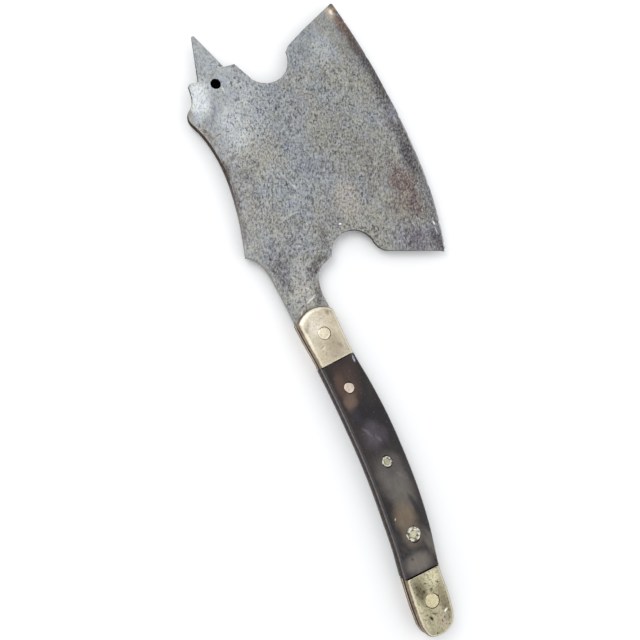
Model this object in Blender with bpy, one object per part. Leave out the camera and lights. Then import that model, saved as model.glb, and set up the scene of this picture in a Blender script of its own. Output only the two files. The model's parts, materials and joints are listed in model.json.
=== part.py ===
"""A butcher's cleaver: a full-tang blade between two horn scales and two pairs of bolsters.

Lengths in this file are in millimetres, and become metres as each mesh is made. The cleaver
lies flat. X runs from the butt of the handle to the hanging spike, -Y is the cutting edge,
+Y is the back, and Z is the thickness. The origin is under the middle of the cleaver, on the
surface that it lies on.
"""

import math

import bmesh
import bpy
from mathutils import Matrix, Vector

MM = 0.001
GAP = 0.3
SAME_POINT = 0.05
SMOOTH_ANGLE = math.radians(35.0)

# How finely curves are faceted: long, slow curves, tight ones, arcs and round bars
LONG_FACET = 4.0
FINE_FACET = 1.8
ARC_FACET = math.radians(12.0)
ROUND_SIDES = 36

# Handle
HANDLE_THICK = 16.0
HORN_SHY = 0.2
TANG_THICK = 5.0
MIDDLE = HANDLE_THICK / 2.0
BOLSTER_ROUND = 2.4
HORN_ROUND = 1.4
ROUND_STEPS = 4

# Cutting edge: two parabolas that meet at its lowest point
EDGE_LOW = (78.0, -68.5)
EDGE_TOE_X = 198.7
EDGE_HEEL_X = 18.0
EDGE_TOE_RISE = 15.1
EDGE_HEEL_RISE = 7.2
EDGE_THICK = 0.3
GRIND_WIDTH = 2.5
GRIND_THICK = 1.2

# Back of the blade: its highest and mean Y, and its thickness at stations along X
BACK_Y = 68.5
BACK_MEAN_Y = 60.5
BACK_THICK = ((12.0, 5.0), (60.0, 5.2), (105.0, 8.0), (140.0, 6.5), (172.0, 3.0), (206.0, 2.0))
NECK_ROOT = (12.0, 41.0)
NECK_EVEN = 14.0
NECK_BLEND = 42.0
GRID_STEP = 8.0
GRID_ROWS = 12
CUT_OVER = 3.0
BUTT_X = -205.5
SPIKE_X = 205.5

HANGING_HOLE = (171.4, 42.9)
HANGING_HOLE_RADIUS = 3.15

# Outlines of the handle, seen from above
BELLY_SIDE = (
    (9.8, 28.4), (-6.0, 27.8), (-21.0, 26.8), (-47.0, 22.9), (-73.0, 20.7), (-108.0, 20.5),
    (-138.0, 22.8), (-165.0, 27.3), (-184.0, 28.3), (-196.0, 30.0),
)
BUTT_END = ((-196.0, 30.0), (-202.0, 33.0), (BUTT_X, 41.0), (-203.7, 50.0), (-196.5, 52.9))
BACK_SIDE = (
    (-196.5, 52.9), (-184.0, 52.6), (-164.0, 50.9), (-140.0, 48.5), (-98.0, 46.8),
    (-58.0, 47.9), (-21.0, 50.4), (-6.0, 52.3), (8.5, 53.8),
)
BOLSTER_ARCH = ((8.5, 53.8), (15.0, 41.2), (9.8, 28.4))

# Joints between bolsters and horn: a point on each, and its lean from square
FRONT_JOINT = (-21.7, 39.5)
FRONT_JOINT_LEAN = math.radians(5.0)
REAR_JOINT = (-165.2, 39.0)
REAR_JOINT_LEAN = 0.0

# Pins: what each holds, its place and radius, and its washer's radius where it has a washer
PINS = {
    "front_bolster_pin": ("front_bolster", (-2.7, 40.1), 3.9, None),
    "front_scale_pin": ("horn_scale", (-40.4, 38.4), 3.1, None),
    "middle_scale_pin": ("horn_scale", (-92.5, 33.7), 1.8, 3.3),
    "rear_scale_pin": ("horn_scale", (-140.9, 35.6), 2.1, 4.6),
    "butt_bolster_pin": ("butt_bolster", (-183.4, 40.6), 4.5, None),
}
PIN_SHY = 0.1
PIN_DOME = 0.25
WASHER_THICK = 1.0


# ---------------------------------------------------------------- curves in the plan

def arc(start, through, end):
    """Points of the circular arc from start to end that passes through a third point."""
    (ax, ay), (bx, by), (cx, cy) = start, through, end
    d = 2.0 * (ax * (by - cy) + bx * (cy - ay) + cx * (ay - by))
    a2, b2, c2 = ax * ax + ay * ay, bx * bx + by * by, cx * cx + cy * cy
    ox = (a2 * (by - cy) + b2 * (cy - ay) + c2 * (ay - by)) / d
    oy = (a2 * (cx - bx) + b2 * (ax - cx) + c2 * (bx - ax)) / d
    radius = math.dist((ox, oy), start)
    first = math.atan2(ay - oy, ax - ox)
    turn = (math.atan2(cy - oy, cx - ox) - first) % math.tau
    part = (math.atan2(by - oy, bx - ox) - first) % math.tau
    if part > turn:
        turn -= math.tau
    steps = math.ceil(abs(turn) / ARC_FACET)
    angles = [first + turn * i / steps for i in range(steps + 1)]
    return [(ox + radius * math.cos(a), oy + radius * math.sin(a)) for a in angles]


def smooth(points, facet):
    """Points of the smooth curve through the given ones, about one facet apart."""
    ends = [points[0], *points, points[-1]]
    curve = [points[0]]
    for p0, p1, p2, p3 in zip(ends, ends[1:], ends[2:], ends[3:]):
        steps = math.ceil(math.dist(p1, p2) / facet)
        for i in range(1, steps + 1):
            t = i / steps
            curve.append(tuple(
                0.5 * (2.0 * b + (c - a) * t + (2.0 * a - 5.0 * b + 4.0 * c - d) * t ** 2
                       + (3.0 * b - a - 3.0 * c + d) * t ** 3)
                for a, b, c, d in zip(p0, p1, p2, p3)
            ))
    return curve


def joined(*stretches):
    """One closed outline from stretches that follow each other, without doubled points."""
    outline = []
    for point in (p for stretch in stretches for p in stretch):
        if not outline or math.dist(outline[-1], point) > SAME_POINT:
            outline.append(point)
    if math.dist(outline[0], outline[-1]) < SAME_POINT:
        outline.pop()
    return outline


def edge_y(x):
    """Y of the cutting edge at x, which stays at the heel's height beside the handle."""
    low_x, low_y = EDGE_LOW
    x = max(x, EDGE_HEEL_X - GRIND_WIDTH)
    if x > low_x:
        return low_y + EDGE_TOE_RISE * ((x - low_x) / (EDGE_TOE_X - low_x)) ** 2
    return low_y + EDGE_HEEL_RISE * ((low_x - x) / (low_x - EDGE_HEEL_X)) ** 2


def handle_sides():
    """The handle's outline from the front of its belly, round the butt, to its back."""
    return joined(smooth(BELLY_SIDE, LONG_FACET), smooth(BUTT_END, FINE_FACET), smooth(BACK_SIDE, LONG_FACET))


def scale_outline():
    """The handle with the arched front of its bolsters."""
    return joined(handle_sides(), arc(*BOLSTER_ARCH))


def blade_outline():
    """Tang, back, spike, notches and heel, running a little past the cutting edge."""
    neck_back = smooth((
        (8.5, 53.8), (25.0, 55.2), (37.0, 56.4), (46.5, 57.9), (52.8, 60.1), (57.0, 63.4), (60.0, 67.6),
    ), FINE_FACET)
    back_hollow = smooth((
        (60.0, 67.6), (72.0, 64.6), (88.0, 61.3), (108.0, 59.2), (126.0, 59.9), (141.5, 63.4), (150.5, 67.5),
    ), LONG_FACET)
    nose = arc((150.5, 67.5), (154.8, BACK_Y), (158.9, 67.2))
    shoulder = arc((158.9, 67.2), (163.8, 62.4), (170.0, 60.7))
    tab = [(175.0, 60.4), (176.3, 59.2), (176.0, 53.3)]
    spike = [(SPIKE_X - 0.1, 46.2), (SPIKE_X, 44.4), (180.7, 33.6), (180.4, 26.2)]
    top_notch = arc((167.3, 19.1), (161.6, 6.7), (178.6, -9.6))
    toe = [(181.6, -12.4), (188.7, -25.8), (200.4, -51.2)]
    tip = arc((200.4, -51.2), (200.3, -52.6), (199.4, -53.5))
    past_edge = [(199.0, -57.5), (EDGE_LOW[0], EDGE_LOW[1] - CUT_OVER), (16.4, -65.3)]
    heel = arc((32.5, -21.7), (35.9, -18.2), (42.6, -16.0))
    finger_notch = arc((42.6, -16.0), (53.5, -1.1), (41.5, 14.2))
    neck_belly = smooth((
        (41.3, 14.5), (39.4, 19.5), (36.6, 24.8), (30.8, 28.4), (21.0, 29.7), (9.8, 28.4),
    ), FINE_FACET)
    return joined(
        handle_sides(), neck_back, back_hollow, nose, shoulder, tab, spike, top_notch, toe, tip,
        past_edge, heel, finger_notch, neck_belly,
    )


# ---------------------------------------------------------------- objects and materials

def clear_scene():
    for old in list(bpy.data.objects):
        bpy.data.objects.remove(old, do_unlink=True)


def make_material(name, colour, roughness, metallic):
    material = bpy.data.materials.new(name)
    material.use_nodes = True
    shader = material.node_tree.nodes["Principled BSDF"]
    shader.inputs["Base Color"].default_value = (*colour, 1.0)
    shader.inputs["Roughness"].default_value = roughness
    shader.inputs["Metallic"].default_value = metallic
    return material


def add_object(name, bm, material=None):
    """A scene object from a bmesh in millimetres, with its faces turned outwards."""
    bmesh.ops.recalc_face_normals(bm, faces=bm.faces)
    bmesh.ops.scale(bm, vec=(MM, MM, MM), verts=bm.verts)
    mesh = bpy.data.meshes.new(name)
    bm.to_mesh(mesh)
    bm.free()
    mesh.shade_smooth()
    mesh.set_sharp_from_angle(angle=SMOOTH_ANGLE)
    added = bpy.data.objects.new(name, mesh)
    bpy.context.collection.objects.link(added)
    if material:
        mesh.materials.append(material)
    return added


def make_cutter(name, bm):
    cutter = add_object(name, bm)
    cutter.hide_render = True
    cutter.display_type = "WIRE"
    return cutter


def cut(target, cutter, operation="DIFFERENCE"):
    modifier = target.modifiers.new(cutter.name, "BOOLEAN")
    modifier.object = cutter
    modifier.operation = operation
    modifier.solver = "EXACT"


def prism(outline, low, high):
    """An upright prism between two heights, as a bmesh."""
    bm = bmesh.new()
    floor = bm.faces.new([bm.verts.new((x, y, low)) for x, y in outline])
    raised = bmesh.ops.extrude_face_region(bm, geom=[floor])
    top = [item for item in raised["geom"] if isinstance(item, bmesh.types.BMVert)]
    bmesh.ops.translate(bm, vec=(0.0, 0.0, high - low), verts=top)
    return bm


def rod(centre, radius, low, high, dome=0.0):
    """An upright round bar, with both of its rims eased by the dome's depth."""
    bm = bmesh.new()
    bmesh.ops.create_cone(
        bm, cap_ends=True, segments=ROUND_SIDES, radius1=radius, radius2=radius, depth=high - low,
        matrix=Matrix.Translation((*centre, (low + high) / 2.0)),
    )
    if dome:
        rims = [e for e in bm.edges if abs(e.verts[0].co.z - e.verts[1].co.z) < dome]
        bmesh.ops.bevel(bm, geom=rims, offset=dome, segments=2, profile=0.5, affect="EDGES")
    return bm


def ring(centre, inner, outer, low, high):
    """A flat washer, spun from its square section."""
    bm = bmesh.new()
    profile = ((inner, low), (outer, low), (outer, high), (inner, high))
    corners = [bm.verts.new((radius, 0.0, z)) for radius, z in profile]
    section = [bm.edges.new((corners[i], corners[(i + 1) % 4])) for i in range(4)]
    bmesh.ops.spin(
        bm, geom=corners + section, cent=(0.0, 0.0, 0.0), axis=(0.0, 0.0, 1.0), angle=math.tau,
        steps=ROUND_SIDES,
    )
    bmesh.ops.remove_doubles(bm, verts=bm.verts, dist=0.001)
    bmesh.ops.translate(bm, vec=(*centre, 0.0), verts=bm.verts)
    return bm


# ---------------------------------------------------------------- blade

def eased(part):
    """A share from 0 to 1 that starts and ends gently."""
    part = min(max(part, 0.0), 1.0)
    return part * part * (3.0 - 2.0 * part)


def back_thickness(x):
    """Thickness of the blade's back at x, eased between its stations."""
    for (x0, t0), (x1, t1) in zip(BACK_THICK, BACK_THICK[1:]):
        if x < x1:
            return t0 + (t1 - t0) * eased((x - x0) / (x1 - x0))
    return BACK_THICK[-1][1]


def plate_thickness(x, y):
    """Thickness of the forging: even in the tang, and thinning from back to edge in the blade."""
    if x <= NECK_ROOT[0] and y > 0.0:
        return TANG_THICK
    grind_y = edge_y(x) + GRIND_WIDTH
    across = (y - grind_y) / (BACK_MEAN_Y - grind_y)
    blade = GRIND_THICK + (back_thickness(x) - GRIND_THICK) * min(max(across, 0.0), 1.0)
    part = eased((math.dist((x, y), NECK_ROOT) - NECK_EVEN) / NECK_BLEND)
    return TANG_THICK + (blade - TANG_THICK) * part


def forging_columns():
    """X of each column of the forging: wide apart in the tang, closer in the blade."""
    front = NECK_ROOT[0]
    count = math.ceil((SPIKE_X + CUT_OVER - front) / GRID_STEP)
    return [BUTT_X - CUT_OVER, 0.0] + [front + GRID_STEP * i for i in range(count + 1)]


def forging_rows(x):
    """Y and thickness down one column, from the cutting edge to past the back."""
    low = edge_y(x) + GRIND_WIDTH
    high = BACK_Y + CUT_OVER
    inner = [low + (high - low) * i / GRID_ROWS for i in range(1, GRID_ROWS + 1)]
    return [(edge_y(x), EDGE_THICK), (low, GRIND_THICK)] + [(y, plate_thickness(x, y)) for y in inner]


def forging_face(bm, side):
    """The upper (1) or lower (-1) face of the forging. Returns its rim, in order."""
    columns = [
        [bm.verts.new((x, y, MIDDLE + side * thick / 2.0)) for y, thick in forging_rows(x)]
        for x in forging_columns()
    ]
    for left, right in zip(columns, columns[1:]):
        for i in range(len(left) - 1):
            bm.faces.new((left[i], right[i], right[i + 1], left[i + 1]))
    edge = [column[0] for column in columns]
    back = [column[-1] for column in columns]
    return edge + columns[-1][1:-1] + back[::-1] + columns[0][-2:0:-1]


def forging():
    """The tapered plate that the blade's outline is cut from, as a bmesh."""
    bm = bmesh.new()
    upper = forging_face(bm, 1.0)
    lower = forging_face(bm, -1.0)
    for i in range(len(upper)):
        after = (i + 1) % len(upper)
        bm.faces.new((upper[i], upper[after], lower[after], lower[i]))
    bmesh.ops.triangulate(bm, faces=bm.faces)
    return bm


def through(centre, radius):
    """A round cutter that passes right through the cleaver."""
    return rod(centre, radius, -CUT_OVER, HANDLE_THICK + CUT_OVER)


def build_blade(steel, pin_holes):
    blade = add_object("blade_and_tang", forging(), steel)
    outline = prism(blade_outline(), -CUT_OVER, HANDLE_THICK + CUT_OVER)
    cut(blade, make_cutter("cutter_blade_outline", outline), "INTERSECT")
    cut(blade, make_cutter("cutter_hanging_hole", through(HANGING_HOLE, HANGING_HOLE_RADIUS)))
    for holes in pin_holes.values():
        for cutter in holes:
            cut(blade, cutter)


# ---------------------------------------------------------------- handle

def handle_slab(high, rounding):
    """One side of the handle, from the tang to its face, with its outer edge rounded."""
    bm = prism(scale_outline(), MIDDLE + TANG_THICK / 2.0 + GAP, high)
    rim = [e for e in bm.edges if all(abs(v.co.z - high) < SAME_POINT for v in e.verts)]
    bmesh.ops.bevel(bm, geom=rim, offset=rounding, segments=ROUND_STEPS, profile=0.5, affect="EDGES")
    return bm


def keep_side(bm, joint, lean, side):
    """Cuts a slab square across at a joint, and keeps the +X (1) or the -X (-1) side of it."""
    normal = Vector((math.cos(lean), math.sin(lean), 0.0)) * side
    point = Vector((*joint, 0.0)) + normal * GAP / 2.0
    everything = list(bm.verts) + list(bm.edges) + list(bm.faces)
    bmesh.ops.bisect_plane(bm, geom=everything, plane_co=point, plane_no=normal, clear_inner=True)
    bmesh.ops.holes_fill(bm, edges=[e for e in bm.edges if e.is_boundary])


def turn_over(bm):
    """Mirrors an upper piece into the matching lower one."""
    for vert in bm.verts:
        vert.co.z = HANDLE_THICK - vert.co.z
    bmesh.ops.reverse_faces(bm, faces=bm.faces)


def front_bolster():
    bm = handle_slab(HANDLE_THICK, BOLSTER_ROUND)
    keep_side(bm, FRONT_JOINT, FRONT_JOINT_LEAN, 1.0)
    return bm


def horn_scale():
    bm = handle_slab(HANDLE_THICK - HORN_SHY, HORN_ROUND)
    keep_side(bm, FRONT_JOINT, FRONT_JOINT_LEAN, -1.0)
    keep_side(bm, REAR_JOINT, REAR_JOINT_LEAN, 1.0)
    return bm


def butt_bolster():
    bm = handle_slab(HANDLE_THICK, BOLSTER_ROUND)
    keep_side(bm, REAR_JOINT, REAR_JOINT_LEAN, -1.0)
    return bm


def build_handle(bolster_metal, horn, pin_holes, washer_seats):
    makers = {
        "front_bolster": (front_bolster, bolster_metal),
        "horn_scale": (horn_scale, horn),
        "butt_bolster": (butt_bolster, bolster_metal),
    }
    for name, (maker, material) in makers.items():
        for side in ("upper", "lower"):
            bm = maker()
            if side == "lower":
                turn_over(bm)
            piece = add_object(f"{name}_{side}", bm, material)
            for cutter in pin_holes[name] + washer_seats[name, side]:
                cut(piece, cutter)


# ---------------------------------------------------------------- pins and washers

def build_pins(brass, washer_metal):
    """Pins and washers. Returns the cutters for their holes and seats, by the piece they go in."""
    pin_holes = {holds: [] for holds, *_ in PINS.values()}
    washer_seats = {(holds, side): [] for holds in pin_holes for side in ("upper", "lower")}
    for name, (holds, centre, radius, washer_radius) in PINS.items():
        add_object(name, rod(centre, radius, PIN_SHY, HANDLE_THICK - PIN_SHY, PIN_DOME), brass)
        pin_holes[holds].append(make_cutter(f"cutter_{name}", through(centre, radius + GAP)))
        if washer_radius:
            for side in ("upper", "lower"):
                seat = build_washer(name, side, centre, radius + GAP, washer_radius, washer_metal)
                washer_seats[holds, side].append(seat)
    return pin_holes, washer_seats


def build_washer(pin_name, side, centre, inner, outer, metal):
    """A washer let into the face of a scale. Returns the cutter for its seat."""
    name = pin_name.replace("_pin", f"_washer_{side}")
    high = HANDLE_THICK - PIN_SHY - PIN_DOME
    washer = ring(centre, inner, outer, high - WASHER_THICK, high)
    seat = rod(centre, outer + GAP, high - WASHER_THICK - GAP, HANDLE_THICK + CUT_OVER)
    if side == "lower":
        turn_over(washer)
        turn_over(seat)
    add_object(name, washer, metal)
    return make_cutter(f"cutter_{name}", seat)


def main():
    clear_scene()
    steel = make_material("forged_steel", (0.27, 0.27, 0.26), 0.5, 1.0)
    bolster_metal = make_material("pale_brass", (0.62, 0.55, 0.40), 0.4, 1.0)
    horn = make_material("dark_horn", (0.045, 0.033, 0.028), 0.25, 0.0)
    washer_metal = make_material("washer_steel", (0.60, 0.58, 0.54), 0.4, 1.0)
    pin_holes, washer_seats = build_pins(bolster_metal, washer_metal)
    build_blade(steel, pin_holes)
    build_handle(bolster_metal, horn, pin_holes, washer_seats)


main()
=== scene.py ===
"""The finished look of a butcher's cleaver: forged blade, pale bolsters, dark horn scales, pins.

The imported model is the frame. Each piece starts from its CAD node, or from a primitive placed by
that node's box, and gets worn edges, a hand-worked surface and its own finish. The cleaver lies
flat: X runs from the butt to the hanging spike, -Y is the cutting edge and Z is the thickness.
"""

import json
import math

import bmesh
import bpy
from bpy.props import FloatProperty, FloatVectorProperty, IntProperty, PointerProperty
from bpy.types import Operator, Panel, PropertyGroup
from mathutils import Matrix, Vector

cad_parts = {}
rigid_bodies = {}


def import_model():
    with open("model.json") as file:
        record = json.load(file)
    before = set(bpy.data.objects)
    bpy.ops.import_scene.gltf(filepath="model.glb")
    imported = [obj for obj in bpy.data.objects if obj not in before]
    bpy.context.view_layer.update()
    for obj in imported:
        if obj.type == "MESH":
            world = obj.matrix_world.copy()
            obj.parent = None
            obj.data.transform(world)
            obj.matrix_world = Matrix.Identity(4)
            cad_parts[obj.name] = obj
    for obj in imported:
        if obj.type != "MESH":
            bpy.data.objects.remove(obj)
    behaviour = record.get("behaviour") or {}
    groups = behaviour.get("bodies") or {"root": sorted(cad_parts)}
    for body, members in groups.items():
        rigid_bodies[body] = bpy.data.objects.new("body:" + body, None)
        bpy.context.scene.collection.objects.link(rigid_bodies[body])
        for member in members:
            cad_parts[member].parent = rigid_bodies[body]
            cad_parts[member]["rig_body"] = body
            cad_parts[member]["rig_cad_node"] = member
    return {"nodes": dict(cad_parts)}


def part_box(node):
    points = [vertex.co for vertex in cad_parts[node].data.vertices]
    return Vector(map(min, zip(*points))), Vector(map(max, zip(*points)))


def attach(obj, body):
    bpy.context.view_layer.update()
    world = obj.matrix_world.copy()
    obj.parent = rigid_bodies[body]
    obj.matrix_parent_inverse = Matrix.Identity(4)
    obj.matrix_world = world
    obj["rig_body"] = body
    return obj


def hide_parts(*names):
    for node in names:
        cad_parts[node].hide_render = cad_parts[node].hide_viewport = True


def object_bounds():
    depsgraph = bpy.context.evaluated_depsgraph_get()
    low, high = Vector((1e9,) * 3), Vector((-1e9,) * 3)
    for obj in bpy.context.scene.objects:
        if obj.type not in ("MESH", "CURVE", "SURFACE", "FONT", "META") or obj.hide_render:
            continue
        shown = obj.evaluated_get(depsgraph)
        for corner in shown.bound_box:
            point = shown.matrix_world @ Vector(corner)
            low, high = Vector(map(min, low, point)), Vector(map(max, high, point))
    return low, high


bl_info = {
    "name": "Butcher's Cleaver",
    "version": (1, 0, 0),
    "blender": (4, 5, 0),
    "location": "View3D > Sidebar > Cleaver",
    "description": "Builds the finished pieces of a riveted butcher's cleaver around its CAD frame",
    "category": "Object",
}

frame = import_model()
CAD_LOW, CAD_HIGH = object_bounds()
CENTRE = (CAD_LOW + CAD_HIGH) / 2.0

MM = 0.001
SAME_POINT = 0.01 * MM

# Cutting edge: two parabolas that meet at its lowest point, as in the CAD
EDGE_LOW_X = 78.0 * MM
EDGE_TOE = (120.7 * MM, 15.1 * MM)
EDGE_HEEL = (60.0 * MM, 7.2 * MM)
# Where the handle's plates end and the open blade starts, along X
BLADE_START = 14.0 * MM
# Middle of the hanging hole, and how far the painted shade on its wall reaches, in mm
HANGING_HOLE = (171.4, 42.9)
HOLE_SHADE_REACH = 5.2
# Dark disc of painted shade under the hanging hole: how far in mm the camera's lean shifts it, and its
# radius
SHADE_DISC_SHIFT = (2.7, -2.1)
SHADE_DISC_RADIUS = 3.5 * MM
# Material index that marks the open middle of a face while a plate is being cut
MARKED = 1
# Nicks in the cutting edge: place along X, depth and half width, in mm
EDGE_NICKS = (
    (18.4, 1.3, 1.6), (22.6, 0.6, 1.0), (29.0, 0.4, 1.1), (37.5, 0.9, 1.3), (47.0, 0.3, 1.2),
    (64.0, 0.3, 1.6), (99.0, 0.3, 1.3), (113.5, 0.6, 1.6), (131.0, 0.3, 1.2), (159.0, 0.3, 1.4),
    (186.0, 0.35, 1.2),
)
# Width of the ground zone in which the nicks fade out
EDGE_ZONE = 3.0 * MM
# Clearance in the CAD between the tang and the plates on it
CAD_SEAM = 0.3 * MM
# Height of a rivet head's dome
HEAD_DOME = 0.3 * MM
# How close to a pin hole an edge of a plate is left sharp
HOLE_MARGIN = 0.6 * MM
# Least upright share of the normal of a level face, and of a quite flat one
LEVEL = 0.5
FLAT = 0.999
# Edges sharper than this are bevelled, and edges blunter than the next are shaded smooth
SHARP_ANGLE = math.radians(50.0)
SMOOTH_ANGLE = math.radians(50.0)


# ---------------------------------------------------------------- working on a mesh

def to_object_mode():
    """Leaves edit mode, with nothing selected."""
    if bpy.context.mode != "OBJECT":
        bpy.ops.object.mode_set(mode="OBJECT")
    bpy.ops.object.select_all(action="DESELECT")


def take(piece):
    """Makes a piece the only selected one, and the active one."""
    to_object_mode()
    piece.select_set(True)
    bpy.context.view_layer.objects.active = piece


def open_mesh(piece):
    """Opens a piece in edit mode, with nothing in it selected."""
    take(piece)
    bpy.ops.object.mode_set(mode="EDIT")
    bpy.ops.mesh.select_mode(type="VERT")
    bpy.ops.mesh.select_all(action="DESELECT")


def pick_faces(piece, wanted):
    """Selects, in edit mode, just the faces that pass a test."""
    bpy.ops.mesh.select_mode(type="FACE")
    bpy.ops.mesh.select_all(action="DESELECT")
    mesh = bmesh.from_edit_mesh(piece.data)
    for face in mesh.faces:
        face.select_set(bool(wanted(face)))
    bmesh.update_edit_mesh(piece.data)


def pick_verts(piece, wanted):
    """Selects, in edit mode, just the vertices that pass a test."""
    bpy.ops.mesh.select_mode(type="VERT")
    bpy.ops.mesh.select_all(action="DESELECT")
    mesh = bmesh.from_edit_mesh(piece.data)
    for vert in mesh.verts:
        vert.select_set(bool(wanted(vert)))
    mesh.select_flush_mode()
    bmesh.update_edit_mesh(piece.data)


def copy_of(node, name):
    """A free copy of a CAD node's mesh, with its doubled points merged."""
    to_object_mode()
    take(frame["nodes"][node])
    bpy.ops.object.duplicate()
    piece = bpy.context.active_object
    bpy.ops.object.parent_clear(type="CLEAR_KEEP_TRANSFORM")
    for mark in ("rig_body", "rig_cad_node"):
        if mark in piece:
            del piece[mark]
    piece.name = name
    piece.data.name = name
    piece.data.materials.clear()
    bpy.ops.mesh.customdata_custom_splitnormals_clear()
    open_mesh(piece)
    bpy.ops.mesh.select_all(action="SELECT")
    bpy.ops.mesh.remove_doubles(threshold=SAME_POINT)
    return piece


def slice_mesh(piece, axis, step, start, end, marked_only=False):
    """Cuts the open mesh, or just its marked faces, along evenly spaced planes square to an axis."""
    count = math.ceil((end - start) / step)
    normal = [0.0, 0.0, 0.0]
    normal[axis] = 1.0
    for i in range(1, count):
        point = [0.0, 0.0, 0.0]
        point[axis] = start + (end - start) * i / count
        if marked_only:
            pick_faces(piece, lambda face: face.material_index == MARKED)
        else:
            bpy.ops.mesh.select_all(action="SELECT")
        bpy.ops.mesh.bisect(plane_co=point, plane_no=normal)


def apply_modifier(piece, kind, **settings):
    """Adds a modifier to a piece, sets it and applies it."""
    take(piece)
    modifier = piece.modifiers.new(kind.title(), kind)
    for name, value in settings.items():
        setattr(modifier, name, value)
    bpy.ops.object.modifier_apply(modifier=modifier.name)


def set_group(piece, name, weights):
    """A vertex group from a weight for each vertex."""
    group = piece.vertex_groups.new(name=name)
    for index, weight in enumerate(weights):
        if weight > 0.0:
            group.add([index], weight, "REPLACE")


def hammer(piece, size, depth, group="", octaves=2):
    """Leaves the shallow hollows of hand work in a surface."""
    texture = bpy.data.textures.new(f"{piece.name}_hollows", "CLOUDS")
    texture.noise_scale = size
    texture.noise_depth = octaves
    apply_modifier(
        piece, "DISPLACE", texture=texture, texture_coords="LOCAL", strength=depth, mid_level=1.0,
        vertex_group=group,
    )
    bpy.data.textures.remove(texture)


def ruffle(piece, centre, depth, seed):
    """Takes a round piece out of true: its rim wanders inwards by up to a depth."""
    reach = max((v.co.xy - centre.xy).length for v in piece.data.vertices)
    for vert in piece.data.vertices:
        arm = vert.co.xy - centre.xy
        if arm.length < SAME_POINT:
            continue
        turn = math.atan2(arm.y, arm.x)
        swing = sum(math.sin(k * turn + seed * k * k) / k for k in (2, 3, 5, 7))
        arm *= 1.0 - (0.5 - 0.42 * swing) * depth * (arm.length / reach) / reach
        vert.co.x, vert.co.y = centre.x + arm.x, centre.y + arm.y


def hand_over(piece, slot, finish, *nodes):
    """Puts a finished piece on the frame in place of its CAD nodes."""
    take(piece)
    bpy.ops.object.shade_smooth_by_angle(angle=SMOOTH_ANGLE)
    piece.vertex_groups.clear()
    piece.data.materials.clear()
    piece.data.materials.append(finish)
    piece.data.polygons.foreach_set("material_index", [0] * len(piece.data.polygons))
    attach(piece, "root")
    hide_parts(*nodes)
    to_object_mode()


# ---------------------------------------------------------------- finishes

def shade(red, green, blue):
    """A colour from its values on a 0 to 255 scale as a screen shows it."""
    def linear(value):
        value /= 255.0
        return value / 12.92 if value <= 0.04045 else ((value + 0.055) / 1.055) ** 2.4
    return (linear(red), linear(green), linear(blue), 1.0)


def opaque(colour):
    """A colour of three channels with a full alpha."""
    return (*colour, 1.0)


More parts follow.
